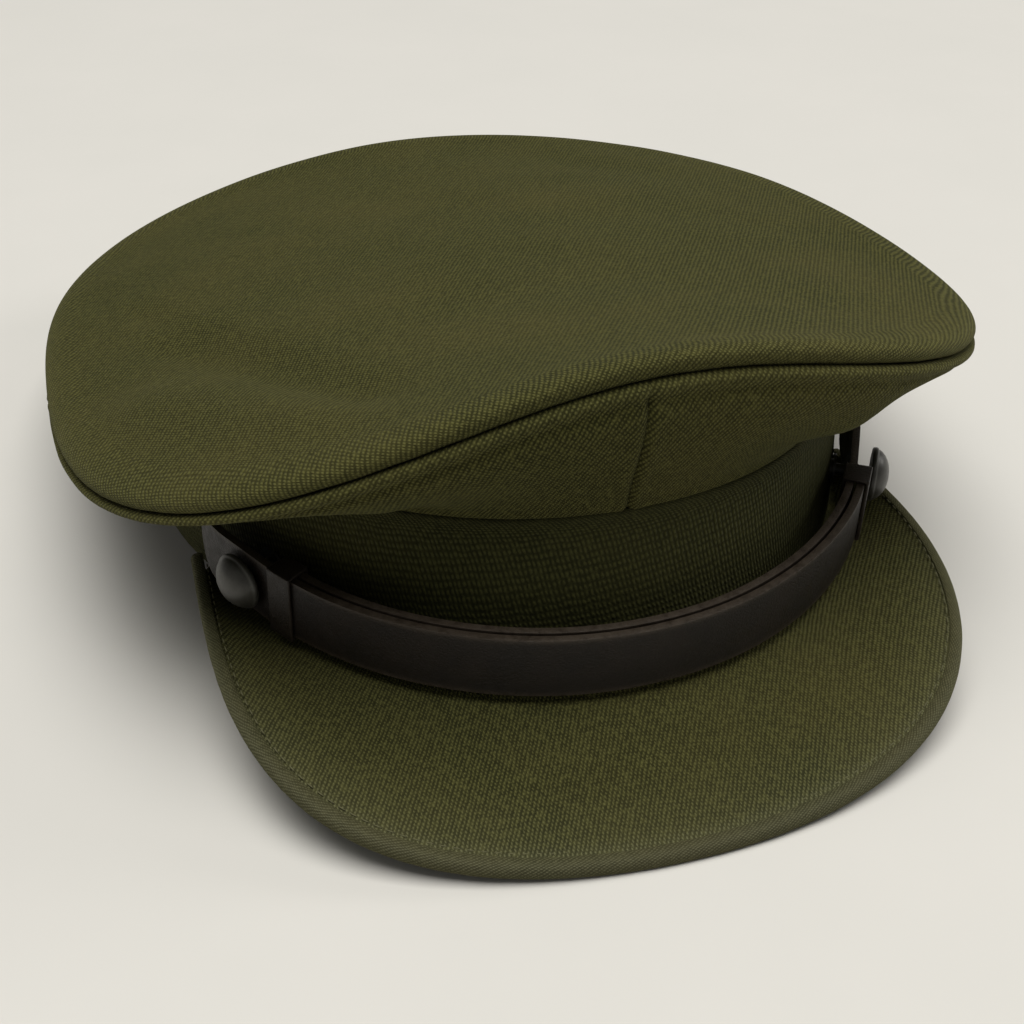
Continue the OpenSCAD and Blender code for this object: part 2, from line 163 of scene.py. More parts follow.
def fit(piece, body, material, slot, *nodes):
    """Dresses a finished piece, hangs it on its body and hides the plain nodes it stands for."""
    piece.data.materials.clear()
    piece.data.materials.append(material)
    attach(piece, body)
    if nodes:
        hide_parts(*nodes)
    print(piece.name, "has", len(piece.data.polygons), "faces")
    return piece


# %% [markdown]
# ## Materials: how the nodes are joined
#
# Each finish is worked out from the cloth's UV map, which is in metres, or from Object coordinates.
# Three helpers keep the cells short: one adds a node and joins or fills its inputs, one does sums,
# and one starts a material with its shader.

# %% Node helpers
def add(tree, kind, inputs=(), **settings):
    made = tree.nodes.new(kind)
    for key, value in settings.items():
        setattr(made, key, value)
    for key, value in dict(inputs).items():
        if isinstance(value, bpy.types.NodeSocket):
            tree.links.new(value, made.inputs[key])
        else:
            made.inputs[key].default_value = value
    return made


def sums(tree, operation, a, b=0.0):
    return add(tree, "ShaderNodeMath", {0: a, 1: b}, operation=operation).outputs[0]


def tint(tree, share, a, b):
    """A colour between a and b."""
    made = add(tree, "ShaderNodeMix", data_type="RGBA")
    for key, kind, value in (("Factor", "VALUE", share), ("A", "RGBA", a), ("B", "RGBA", b)):
        socket = next(s for s in made.inputs if s.name == key and s.type == kind)
        if isinstance(value, bpy.types.NodeSocket):
            tree.links.new(value, socket)
        else:
            socket.default_value = value
    return next(s for s in made.outputs if s.type == "RGBA")


def start(name, **shader):
    material = bpy.data.materials.new(name)
    material.use_nodes = True
    tree = material.node_tree
    principled = tree.nodes["Principled BSDF"]
    for key, value in shader.items():
        principled.inputs[key.replace("_", " ")].default_value = value
    return material, tree, principled


def relief(tree, principled, height, depth_mm, strength=1.0):
    bump = add(tree, "ShaderNodeBump", {"Height": height, "Distance": depth_mm / 1000, "Strength": strength})
    tree.links.new(bump.outputs["Normal"], principled.inputs["Normal"])


def speckle(tree, size_mm, detail=3.0, rough=0.6, vector=None):
    """Noise with grains of about that size, from 0 to 1."""
    vector = vector or add(tree, "ShaderNodeTexCoord").outputs["Object"]
    return add(tree, "ShaderNodeTexNoise", {"Vector": vector, "Scale": 1000 / size_mm, "Detail": detail,
                                            "Roughness": rough}).outputs["Fac"]


def ramp(tree, value, low, high, dark=0.0, light=1.0):
    """Spreads the range low to high over dark to light."""
    return add(tree, "ShaderNodeMapRange", {"Value": value, "From Min": low, "From Max": high,
                                            "To Min": dark, "To Max": light}).outputs[0]


# %% [markdown]
# ## The wool twill
#
# Service cloth is a hard worsted twill. Its ribs run steeply across the panel about a millimetre
# apart, and each rib is broken into short floats like grains of rice. Two sine waves make that, one
# across the ribs and one along them, on coordinates that a little noise pushes about, since yarn is
# never even. Gaps between the ribs are dark, floats catch the light, and wool has a soft sheen.

# %% Twill
def twill(name, thread, gap, worn, pitch=1.0, lean=30, yarn=0.85, depth=0.3, sheen=0.1):
    material, tree, principled = start(
        name, Roughness=0.92, Specular_IOR_Level=0.1, Sheen_Weight=sheen, Sheen_Roughness=0.5,
        Sheen_Tint=(0.62, 0.62, 0.30, 1))
    flat = add(tree, "ShaderNodeUVMap", uv_map="cloth").outputs["UV"]
    mm = add(tree, "ShaderNodeVectorMath", {0: flat, "Scale": 1000}, operation="SCALE").outputs[0]
    wander = add(tree, "ShaderNodeTexNoise", {"Vector": mm, "Scale": 0.45, "Detail": 2.0}).outputs["Color"]
    push = add(tree, "ShaderNodeVectorMath", {0: wander, 1: (0.5, 0.5, 0.5)}, operation="SUBTRACT").outputs[0]
    push = add(tree, "ShaderNodeVectorMath", {0: push, "Scale": 0.55}, operation="SCALE").outputs[0]
    yarns = add(tree, "ShaderNodeVectorMath", {0: mm, 1: push}, operation="ADD").outputs[0]
    x, y = add(tree, "ShaderNodeSeparateXYZ", {0: yarns}).outputs[:2]
    side = sums(tree, "ADD", sums(tree, "MULTIPLY", x, cos(lean)), sums(tree, "MULTIPLY", y, sin(lean)))
    run = sums(tree, "SUBTRACT", sums(tree, "MULTIPLY", y, cos(lean)), sums(tree, "MULTIPLY", x, sin(lean)))
    rib = sums(tree, "SINE", sums(tree, "MULTIPLY", side, 2 * math.pi / pitch))
    step = sums(tree, "ADD", sums(tree, "MULTIPLY", run, 2 * math.pi / yarn),
                sums(tree, "MULTIPLY", side, math.pi / pitch))
    grain = sums(tree, "SINE", step)
    height = sums(tree, "MULTIPLY", ramp(tree, rib, -1, 1), ramp(tree, grain, -1, 1, 0.25, 1.0))
    fleck = speckle(tree, 1.1, 2.0, 0.7)
    broad = speckle(tree, 42, 3.0, 0.55)
    fine = sums(tree, "ADD", height, ramp(tree, fleck, 0.3, 0.7, -0.3, 0.3))
    cloth = tint(tree, ramp(tree, fine, 0.02, 0.85), gap, thread)
    brown = [thread[0] * 1.1, thread[1] * 0.9, thread[2] * 0.95, 1]
    cloth = tint(tree, ramp(tree, broad, 0.4, 0.7, 0.0, 0.3), cloth, tint(tree, 0.55, cloth, brown))
    wear_and_highlight = add(tree, "ShaderNodeAttribute", attribute_name="wear_and_highlight").outputs["Fac"]
    rubbed_and_highlit = sums(tree, "MULTIPLY", wear_and_highlight, ramp(tree, height, 0.1, 0.7, 0.25, 1.0))
    cloth = tint(tree, rubbed_and_highlit, cloth, worn)
    tree.links.new(cloth, principled.inputs["Base Color"])
    relief(tree, principled, fine, depth, 0.9)
    return material


CROWN_TWILL = twill("crown_twill", (0.092, 0.089, 0.025, 1), (0.018, 0.018, 0.004, 1),
                    (0.155, 0.150, 0.055, 1), pitch=0.95, lean=-28, yarn=0.8)
# The band's twill is the crown's cloth painted much darker: painted shade under the crown's overhang.
BAND_TWILL_SHADED = twill("band_twill_shaded", (0.044, 0.045, 0.013, 1), (0.011, 0.012, 0.003, 1),
                   (0.085, 0.083, 0.035, 1), pitch=0.9, lean=28)
PEAK_TWILL = twill("peak_twill", (0.094, 0.092, 0.028, 1), (0.020, 0.020, 0.006, 1),
                   (0.155, 0.155, 0.085, 1), pitch=0.85, lean=-30, yarn=0.7)
BINDING_TWILL = twill("binding_twill", (0.084, 0.081, 0.038, 1), (0.034, 0.033, 0.014, 1),
                      (0.13, 0.128, 0.080, 1), pitch=0.6, lean=60, yarn=0.6, depth=0.15)
UNDER_TWILL = twill("under_twill", (0.075, 0.078, 0.040, 1), (0.028, 0.030, 0.014, 1),
                    (0.11, 0.11, 0.06, 1), pitch=0.6, lean=45, yarn=0.6, depth=0.12)

# %% [markdown]
# ## Leather, lining, lacquer and metal
#
# The strap is hard polished leather, nearly black, with paler edges: burnished, with a painted highlight
# where the edges catch the light. Cracks between the grain cells come from a Voronoi texture's distance to
# its edges. The sweatband is the same leather undyed. The lining is a satin whose fine threads all run one
# way. The buttons are metal under a dark glossy lacquer, so they have a clear coat and hardly any texture.

# %% Leather
def leather(name, body_colour, edge_colour, rough, coat, cell_mm):
    material, tree, principled = start(name, Coat_Weight=coat, Coat_Roughness=0.32, Specular_IOR_Level=0.3)
    place_of = add(tree, "ShaderNodeTexCoord").outputs["Object"]
    cracks = add(tree, "ShaderNodeTexVoronoi", {"Vector": place_of, "Scale": 1000 / cell_mm},
                 feature="DISTANCE_TO_EDGE").outputs["Distance"]
    grain = ramp(tree, cracks, 0.0, 0.22)
    mottle = speckle(tree, 9, 4.0, 0.6)
    rub = speckle(tree, 2.2, 3.0, 0.7)
    wear_and_highlight = add(tree, "ShaderNodeAttribute", attribute_name="wear_and_highlight").outputs["Fac"]
    deep = [c * 0.55 for c in body_colour[:3]] + [1]
    colour = tint(tree, ramp(tree, mottle, 0.35, 0.65), deep, body_colour)
    colour = tint(tree, ramp(tree, grain, 0.0, 1.0, 0.35, 0.0), colour, deep)
    # Paler edges: burnished leather, and on strap and keepers a painted highlight along the edges.
    edge = sums(tree, "MULTIPLY", wear_and_highlight, ramp(tree, rub, 0.3, 0.6, 0.45, 1.0))
    colour = tint(tree, edge, colour, edge_colour)
    tree.links.new(colour, principled.inputs["Base Color"])
    tree.links.new(ramp(tree, rub, 0.3, 0.7, rough - 0.08, rough + 0.12), principled.inputs["Roughness"])
    relief(tree, principled, sums(tree, "ADD", grain, sums(tree, "MULTIPLY", rub, 0.6)), 0.06, 0.7)
    return material


# The strap's paler edge colour is burnish and a painted highlight.
STRAP_LEATHER = leather("strap_leather", (0.0100, 0.0060, 0.0036, 1), (0.038, 0.028, 0.019, 1),
                        rough=0.5, coat=0.05, cell_mm=0.8)
SWEAT_LEATHER = leather("sweat_leather", (0.20, 0.095, 0.042, 1), (0.11, 0.05, 0.024, 1),
                        rough=0.5, coat=0.1, cell_mm=1.1)


# %% Satin, canvas and board
def woven(name, colour, dark, thread_mm, rough, depth, sheen=0.0, stretch=1.0):
    """Plain weave of two crossing sets of threads; stretch makes one set show more, as in satin."""
    material, tree, principled = start(name, Roughness=rough, Sheen_Weight=sheen, Sheen_Roughness=0.3)
    place_of = add(tree, "ShaderNodeTexCoord").outputs["Object"]
    x, y, z = add(tree, "ShaderNodeSeparateXYZ", {0: place_of}).outputs
    turn = 2000 * math.pi / thread_mm
    over = sums(tree, "ADD", x, sums(tree, "MULTIPLY", y, 0.6))
    up = sums(tree, "ADD", z, sums(tree, "MULTIPLY", y, 0.5))
    warp = sums(tree, "SINE", sums(tree, "MULTIPLY", over, turn))
    weft = sums(tree, "SINE", sums(tree, "MULTIPLY", up, turn * stretch))
    weave = sums(tree, "ADD", sums(tree, "MULTIPLY", warp, 0.5), sums(tree, "MULTIPLY", weft, 0.5))
    weave = sums(tree, "ADD", weave, ramp(tree, speckle(tree, 6, 3.0), 0.3, 0.7, -0.8, 0.8))
    tree.links.new(tint(tree, ramp(tree, weave, -1.4, 1.4), dark, colour), principled.inputs["Base Color"])
    relief(tree, principled, weave, depth, 0.6)
    return material


LINING_SATIN = woven("lining_satin", (0.145, 0.113, 0.055, 1), (0.10, 0.078, 0.038, 1),
                     thread_mm=0.5, rough=0.42, depth=0.05, sheen=0.35, stretch=0.3)
STIFF_CANVAS = woven("stiff_canvas", (0.45, 0.38, 0.26, 1), (0.26, 0.21, 0.14, 1),
                     thread_mm=1.1, rough=0.8, depth=0.2)
FIBRE_BOARD = woven("fibre_board", (0.33, 0.27, 0.19, 1), (0.22, 0.18, 0.12, 1),
                    thread_mm=3.5, rough=0.8, depth=0.05)


# %% Lacquer and metal
def metal(name, colour, dull, rough, metallic, coat=0.0):
    material, tree, principled = start(name, Metallic=metallic, Coat_Weight=coat, Coat_Roughness=0.35)
    stain = speckle(tree, 3.0, 4.0, 0.65)
    scratch = speckle(tree, 0.5, 2.0, 0.8)
    tree.links.new(tint(tree, ramp(tree, stain, 0.35, 0.65), dull, colour), principled.inputs["Base Color"])
    tree.links.new(ramp(tree, scratch, 0.3, 0.7, rough - 0.05, rough + 0.09), principled.inputs["Roughness"])
    relief(tree, principled, scratch, 0.012, 0.5)
    return material


BUTTON_LACQUER = metal("button_lacquer", (0.050, 0.048, 0.040, 1), (0.032, 0.030, 0.024, 1), 0.46, 0.35, 0.25)
PIN_BRASS = metal("pin_brass", (0.60, 0.45, 0.19, 1), (0.38, 0.27, 0.11, 1), 0.34, 1.0)
SPRING_WIRE = metal("spring_wire", (0.62, 0.62, 0.60, 1), (0.42, 0.42, 0.42, 1), 0.38, 1.0)
STITCH_THREAD = metal("stitch_thread", (0.100, 0.096, 0.042, 1), (0.078, 0.075, 0.032, 1), 0.85, 0.0)
LEATHER_THREAD = metal("leather_thread", (0.30, 0.22, 0.12, 1), (0.20, 0.14, 0.08, 1), 0.7, 0.0)
print(len(bpy.data.materials), "materials")

# %% [markdown]
# ## The band's oval
#
# A head is egg-round, and the band's oval follows it with four arcs: tight ones at forehead and
# nape, and flatter ones over the ears. An angle names each point of it by the way its outer face
# looks, 0 at the middle of the front, 90 at the right ear and 180 at the nape.

# %% Oval
BAND_HALF_W, BAND_HALF_L, BAND_END_R, BAND_H = 84.5, 103.5, 70.0, 34.0
END_C = BAND_HALF_L - BAND_END_R
SIDE_R = (BAND_HALF_W ** 2 + END_C ** 2 - BAND_END_R ** 2) / (2 * (BAND_HALF_W - BAND_END_R))
SIDE_C = SIDE_R - BAND_HALF_W
MEET = math.degrees(math.atan(SIDE_C / END_C))
BAND_CLOTH, STIFFENER = 1.4, 1.2
INNER_FACE = BAND_CLOTH + STIFFENER


def oval(a, out=0.0):
    if abs(cos(a)) >= cos(MEET):
        return (BAND_END_R + out) * sin(a), -math.copysign(END_C, cos(a)) - (BAND_END_R + out) * cos(a)
    return (SIDE_R + out) * sin(a) - math.copysign(SIDE_C, sin(a)), -(SIDE_R + out) * cos(a)


def turn_at(share):
    """The oval's angle at a share of the way round, from the nape over the left ear and the front."""
    end, side = BAND_END_R * MEET, SIDE_R * (90 - MEET)
    quarter = (end + side)
    way = (share * 4) % 4
    part, rest = int(way), (way % 1) * quarter
    if part % 2 == 0:
        a = rest / BAND_END_R if rest < end else MEET + (rest - end) / SIDE_R
    else:
        a = rest / SIDE_R if rest < side else 90 - MEET + (rest - side) / BAND_END_R
    return -180 + part * 90 + a


def oval_angle(t):
    """The oval's angle beside the crown's own angle t, so that threads run straight up."""
    x = BAND_HALF_W * abs(sin(t))
    a = math.asin(x / BAND_END_R) if x <= BAND_END_R * sin(MEET) else math.asin(min(1, (x + SIDE_C) / SIDE_R))
    a = math.degrees(a)
    return math.copysign(a if cos(t) >= 0 else 180 - a, sin(t)) if sin(t) else (0 if cos(t) > 0 else 180)


AROUND = 4 * math.radians(BAND_END_R * MEET + SIDE_R * (90 - MEET))
print("the band is", round(AROUND), "mm round outside")

# %% [markdown]
# ## The crown's form
#
# A wire hoop holds the crown's edge out into a wide oval. It stands high at the front and droops at
# the sides, here lower on one side than the other, so the seam's height is a sum of waves round the
# crown. The quarters leave the band upright and roll in under that seam.

# %% Crown lines
CROWN_HALF_W, CROWN_HALF_L, CROWN_BACK = 111.0, 128.0, 9.0
SEAM_Z, FRONT_LIFT, SIDE_LEAN, SIDE_DROOP = 41.3, 11.0, 7.5, 9.5
ROLL_H, CROWN_DOME = 5.0, 7.0


def crown_xy(t, u):
    k = u * (1 - 0.045 * cos(4 * t))
    return k * CROWN_HALF_W * sin(t) * (1 + 0.027 * cos(t)), CROWN_BACK - k * CROWN_HALF_L * cos(t)


def crown_wave(t, u):
    return (SEAM_Z + u * (FRONT_LIFT * cos(t) + SIDE_LEAN * sin(t)) + u ** 2 * SIDE_DROOP * cos(2 * t)
            + 2.55 * u ** 3 * cos(3 * t) + 2.6 * u ** 4 * cos(4 * t))


def crown_out(t):
    return Vector((sin(t) / CROWN_HALF_W, -cos(t) / CROWN_HALF_L)).normalized()


def seam_point(t, out=0.0, up=0.0):
    x, y = crown_xy(t, 1)
    e = crown_out(t)
    return Vector((x + out * e.x, y + out * e.y, crown_wave(t, 1) + up))


def dome_z(t, u):
    return crown_wave(t, u) + ROLL_H + CROWN_DOME * (1 - u * u)


def crown_z(x, y):
    """Height of the crown's top over a place in its plan."""
    a, b = x / CROWN_HALF_W, (CROWN_BACK - y) / CROWN_HALF_L
    t = math.degrees(math.atan2(a, b))
    return dome_z(t, math.hypot(a, b) / (1 - 0.045 * cos(4 * t)))


# %% [markdown]
# ### The crown top
#
# One big oval of cloth, sewn to the quarters face to face and turned, so its edge rolls out over the
# seam and hides the hoop. It is tight at the front and slack at the low side, where it has sunk
# into a shallow valley with a soft swelling outside it. Those few old folds are placed one by one.

# %% Crown top
EDGE_ROLL = [(-2.6, -0.4, 0), (-1.0, -0.2, 0), (0.1, 0.12, 0), (0.95, 0.8, 0), (1.42, 1.8, 0), (1.38, 2.8, 0),
             (0.85, 3.75, 0), (-0.3, 4.6, 0), (-2.0, 5.25, 0), (-4.2, 5.72, 0), (-7.0, 6.15, 0)]
ROLL_SHARE, ROLL_LONG = 0.26, 14.5   # share of the grid's rows spent on the roll, and its length in mm
ROLL_END_IN, ROLL_END_H = -EDGE_ROLL[-1][0], EDGE_ROLL[-1][1]


def valley(x, y, a, b, width):
    """1 on the line from a to b, falling softly to 0 beside it and past its ends."""
    a, b, p = Vector(a), Vector(b), Vector((x, y))
    way = b - a
    s = (p - a).dot(way) / way.length_squared
    over = max(0.0, -s, s - 1) * way.length
    beside = (p - a - s * way).length
    return math.exp(-(beside / width) ** 2 - (over / 16) ** 2)


def settled(x, y):
    """Height in mm that years of storage added to the crown's top."""
    low_side = -2.5 * valley(x, y, (-74, -6), (-47, -70), 7) + 1.9 * valley(x, y, (-84, -36), (-62, -72), 10)
    crease = -0.9 * valley(x, y, (-78, 22), (-58, -30), 4.5)
    far_side = -0.9 * valley(x, y, (70, 60), (40, 96), 12) + 0.5 * valley(x, y, (62, -52), (30, -84), 14)
    uneven = 0.6 * drift((x, y, 0), 46, 1) + 0.25 * drift((x, y, 0), 19, 2)
    return low_side + crease + far_side + uneven - 0.7


def crown_radius(t):
    x, y = crown_xy(t, 1)
    return math.hypot(x, y - CROWN_BACK)


def top_lines(t, w):
    """Share u of the crown's radius, and height over its wave, on the way from seam to middle."""
    if w < ROLL_SHARE:
        q = through(EDGE_ROLL, w / ROLL_SHARE)
        return 1 + q.x / crown_radius(t), q.y
    rim = 1 - ROLL_END_IN / crown_radius(t)
    u = rim * (1 - ((w - ROLL_SHARE) / (1 - ROLL_SHARE)) ** 1.2)
    flat = ROLL_H + CROWN_DOME * (1 - rim * rim)
    return u, ROLL_H + CROWN_DOME * (1 - u * u) + (ROLL_END_H - flat) * hump(rim - u, 0, 0.13)


def top_form(s, w):
    t = 360 * s
    u, h = top_lines(t, w)
    x, y = crown_xy(t, u)
    pucker = 0.14 * hump(w, 0.06, 0.04) * drift((90 * cos(t), 90 * sin(t), 0), 5, 3)
    ease = min(1.0, (w / ROLL_SHARE) ** 2 * 0.55 + max(0.0, w - ROLL_SHARE) * 3)
    return place(x, y, crown_wave(t, u) + h + pucker + settled(x, y) * ease)


def top_cut(s, w):
    t = 360 * s
    if w >= ROLL_SHARE:
        return crown_xy(t, top_lines(t, w)[0])
    x, y = crown_xy(t, 1 - ROLL_END_IN / crown_radius(t))
    e = crown_out(t) * ROLL_LONG * (1 - w / ROLL_SHARE)
    return x + e.x, y + e.y


def top_wear(s, w):
    return 0.28 * hump(w, 0.13, 0.07)


crown_middle = place(0, CROWN_BACK, 30)
crown_top = panel("crown_top_cloth", 320, 88, top_form, top_cut, top_wear, crown_middle)
thicken(crown_top, 1.0)
fit(crown_top, "cap", CROWN_TWILL, "crown_cloth", "crown_top")

# %% [markdown]
# ### The four quarters
#
# They are cut curved, joined by upright seams, and sewn to the band and to the crown top. Next to
# the crown seam the cloth turns over a piping cord and stands out as a bead. A stiff canvas holds
# the front smooth; where it ends the cloth breaks into one soft fold on each side.

# %% Quarters
QUARTER_LONG = 42.0
CLOTH_RISE, CLOTH_ROLL_IN, CLOTH_ROLL_UP = 20, 16, 30   # how the cloth sets off from band and seam
above_crown = place(0, CROWN_BACK, 140)


def quarter_base(t, v):
    ox, oy = oval(oval_angle(t))
    e, seam = crown_out(t), seam_point(t)
    rise = Vector((0, 0, CLOTH_RISE))
    roll = Vector((-CLOTH_ROLL_IN * e.x, -CLOTH_ROLL_IN * e.y, CLOTH_ROLL_UP))
    return ((2 * v ** 3 - 3 * v * v + 1) * Vector((ox, oy, BAND_H)) + (v ** 3 - 2 * v * v + v) * rise
            + (3 * v * v - 2 * v ** 3) * seam + (v ** 3 - v * v) * roll)


def quarter_normal(t, v):
    da = quarter_base(t + 0.5, v) - quarter_base(t - 0.5, v)
    dv = quarter_base(t, min(1, v + 0.02)) - quarter_base(t, max(0, v - 0.02))
    return da.cross(dv).normalized()


def quarter_puff(t, v, low, high):
    """How far in mm the cloth stands off its smooth form: bead, seams and folds."""
    below = (1 - v) * QUARTER_LONG
    bead = 1.15 * hump(below, 2.5, 2.0) - 0.55 * hump(below, 6.4, 2.0) - 1.0 * hump(below, 0, 0.8)
    foot = -0.35 * hump(v * QUARTER_LONG, 0, 0.9)
    beside = min(t - low, high - t) * 1.75
    seam = (-0.85 * hump(beside, 0, 0.75) + 0.22 * hump(beside, 2.2, 1.3)) * min(1, below / 5)
    middle = 4 * v * (1 - v)
    away = (t + 180) % 360 - 180
    fold = 0.0
    for side, size in ((1, 1.0), (-1, 0.8)):
        fold += size * (1.9 * hump(away * side, 31 - 9 * (v - 0.4), 5.5) * hump(v, 0.42, 0.24)
                        - 2.1 * hump(away * side, 43 - 9 * (v - 0.4), 7) * hump(v, 0.55, 0.25))
    for side in (1, -1):
        fold += hump(away * side, 74, 30) * (0.9 * hump(v, 0.22, 0.15) - 1.8 * hump(v, 0.5, 0.17))
    fold += 0.9 * hump(away, 30, 7) * hump(v, 0.5, 0.2)
    slack = middle * (0.35 + 0.65 * min(1, abs(away) / 60))
    p = quarter_base(t, v)
    uneven = slack * (0.8 * drift(p, 24, 5) + 0.35 * drift(p, 10, 6))
    pucker = 0.22 * hump(beside, 3, 3) * middle * drift((0, 0, v * 60), 7, 8)
    return bead + foot + seam + fold * min(1, below / 6) + uneven + pucker


def quarter(name, low, node):
    high = low + 90

    def form(s, v):
        t = low + 90 * crowded(s, 0.7)
        h = 0.002 + 0.996 * crowded(v, 0.55)
        p = quarter_base(t, h) + quarter_puff(t, h, low, high) * quarter_normal(t, h)
        return place(*p)

    def cut(s, v):
        return (low + 90 * crowded(s, 0.7)) * 1.8, crowded(v, 0.55) * QUARTER_LONG

    def wear_and_highlight(s, v):
        return 0.25 * hump((1 - crowded(v, 0.55)) * QUARTER_LONG, 2.5, 2.0)

    cloth = thicken(panel(name, 120, 64, form, cut, wear_and_highlight, above_crown), 1.0)
    return fit(cloth, "cap", CROWN_TWILL, "crown_cloth", node)


quarter_front_right = quarter("front_right_quarter_cloth", 0, "quarter_front_right")
quarter_rear_right = quarter("rear_right_quarter_cloth", 90, "quarter_rear_right")
quarter_rear_left = quarter("rear_left_quarter_cloth", 180, "quarter_rear_left")
quarter_front_left = quarter("front_left_quarter_cloth", 270, "quarter_front_left")

# %% [markdown]
# ## The band
#
# The band is a straight strip of the same cloth round a stiff board. Its upper edge is turned under
# and stands a hair proud of the quarters, its lower edge folds in under the board, and it is joined
# at the nape. The strip is a grid bent round the oval, and its cross-section is a short line.

# %% Band
BAND_LINE = [(-1.5, 34.0, 0), (-0.5, 34.25, 0), (0.12, 33.8, 0), (0.25, 32.6, 0), (0.1, 30, 0),
             (0.0, 24, 0), (0.0, 17, 0), (0.0, 10, 0), (0.0, 5, 0), (-0.02, 2.0, 0), (-0.2, 0.6, 0),
             (-0.9, 0.05, 0), (-1.9, 0.15, 0)]


def band_form(s, w):
    a = turn_at(s)
    q = through(BAND_LINE, w)
    ox, oy = oval(a)
    lump = 0.22 * drift((ox, oy, q.y), 26, 9) * hump(q.y, 17, 15)
    join = -0.5 * hump(min(s, 1 - s) * AROUND, 0, 0.9)
    x, y = oval(a, q.x + lump + join)
    return place(x, y, q.y)


band = panel("band_cloth", 340, 44, band_form, lambda s, w: (s * AROUND, 36 * (1 - w)),
             lambda s, w: 0.25 * hump(w, 0.86, 0.06) + 0.15 * hump(w, 0.2, 0.05), place(0, 0, 17))
thicken(band, 0.9)
# The band's twill is painted darker than the crown's: painted shade under the crown.
fit(band, "cap", BAND_TWILL_SHADED, "band_cloth", "cap_band")

# %% [markdown]
# ## The peak
#
# A board cut to a crescent, covered with cloth above and below and bound round its edge. Its root
# follows the band, its edge drops steeply in front and comes up again at the sides, and straight
# lines join the two. The cover swells slightly, because the board is bent in two directions.

# %% Peak lines
PEAK_HALF_W, PEAK_LEN, PEAK_DROP, PEAK_FLARE = 83.0, 36.0, 23.0, 4.5
PEAK_END_Y, ROOT_A = 38.0, 71.0
SPREAD, GATHER, ROUND = 5 / 3, 2.2, 0.415   # how the root's angles and the outline's fullness run
SAG, DIP, DIP_END, TAPER, TAPER_END = 1.6, 1.0, 13, 2.5, 6
ROOT_OUT, ROOT_DROP, SWELL = 2.0, 2.6, 4.4
PLY, BOARD = 0.8, 1.3
PEAK_T = 2 * PLY + BOARD


def peak_edge(a):
    part = abs(a) / ROOT_A
    t = 90 * math.copysign(1 - (1 - part ** SPREAD) ** GATHER, a) if a else 0.0
    c = max(0.0, cos(t))
    return Vector(((PEAK_HALF_W - TAPER * part ** TAPER_END) * sin(t),
                   -PEAK_END_Y - (BAND_HALF_L + PEAK_LEN - PEAK_END_Y) * c ** ROUND,
                   PEAK_FLARE - (PEAK_FLARE + PEAK_DROP) * c - SAG * sin(2 * t) ** 2 - DIP * part ** DIP_END))


def peak_point(a, s, deep=0.0):
    """A place on the peak: s is 0 at the root and 1 at the edge, deep is in mm under the cover."""
    x, y = oval(a, ROOT_OUT * cos(a))
    root = Vector((x, y, -ROOT_DROP * cos(a)))
    p = mix(root, peak_edge(a), s)
    p.z += SWELL * s * s * (1 - s) * cos(a) - deep
    return p


def edge_out(a):
    d = peak_edge(min(ROOT_A, a + 0.4)) - peak_edge(max(-ROOT_A, a - 0.4))
    return Vector((d.y, -d.x, 0)).normalized()


def even_angles(count):
    """Root angles whose points lie evenly along the peak's edge."""
    fine = [-ROOT_A + 2 * ROOT_A * i / 1200 for i in range(1201)]
    way = [0.0]
    for a, b in zip(fine, fine[1:]):
        way.append(way[-1] + (peak_edge(b) - peak_edge(a)).length)
    found, k = [], 0
    for i in range(count):
        goal = way[-1] * i / (count - 1)
        while k < len(way) - 2 and way[k + 1] < goal:
            k += 1
        found.append(mix(fine[k], fine[k + 1], (goal - way[k]) / max(1e-9, way[k + 1] - way[k])))
    return found, way[-1]


SLICES = 220
EDGE_ANGLES, EDGE_LONG = even_angles(SLICES + 1)
print("the peak's edge is", round(EDGE_LONG), "mm long")


# %% Peak cover and under cloth
PLY_ROOT, PLY_HANG = 0.08, 0.45   # share of rows inside the band, and slack under the board in mm


def peak_ply(name, top, material, slot, node, outside):
    """One cloth of the peak, from its root inside the band to its bound edge."""

    def form(s, w):
        a = EDGE_ANGLES[round(s * SLICES)]
        if w < PLY_ROOT:
            x, y = oval(a, mix(-INNER_FACE, 0, w / PLY_ROOT))
            return place(x, y, -top)
        w = (w - PLY_ROOT) / (1 - PLY_ROOT)
        p = peak_point(a, w, top)
        lump = (0.16 * drift(p, 15, 10) - (PLY_HANG if top else 0.0)) * 4 * w * (1 - w)
        return place(p.x, p.y, p.z + lump)

    def cut(s, w):
        p = peak_point(EDGE_ANGLES[round(s * SLICES)], w)
        return p.x, p.y * 1.12

    def wear_and_highlight(s, w):
        return 0.55 * hump(w, 1.0, 0.06) + 0.25 * hump(w, 0.97, 0.22)

    cloth = thicken(panel(name, SLICES, 44, form, cut, wear_and_highlight, outside), PLY - 0.05)
    fit(cloth, "cap", material, slot, node)


peak_ply("peak_cover_cloth", 0.0, PEAK_TWILL, "peak_cloth", "peak_cover", place(0, -110, -90))
peak_ply("peak_under_cloth", PEAK_T, UNDER_TWILL, "peak_under_cloth", "peak_lining", place(0, -110, 90))

# %% [markdown]
# ### The binding and its stitches
#
# A bias strip is folded over the peak's raw edge and caught by one row of machine stitches. The fold
# is a ring of points carried along the edge. Stitches are real little threads: a sphere of few
# faces, drawn out and sunk a little at both ends, set at even steps along the row.

# %% Binding
FOLD = [(-1.35, 0.12, 0), (-0.6, 0.42, 0), (0.35, 0.40, 0), (1.05, -0.05, 0), (1.4, -0.9, 0),
        (1.4, 0.9 - PEAK_T, 0), (1.05, 0.05 - PEAK_T, 0), (0.35, -0.28 - PEAK_T, 0),
        (-0.6, -0.24 - PEAK_T, 0), (-1.35, -0.05 - PEAK_T, 0)]


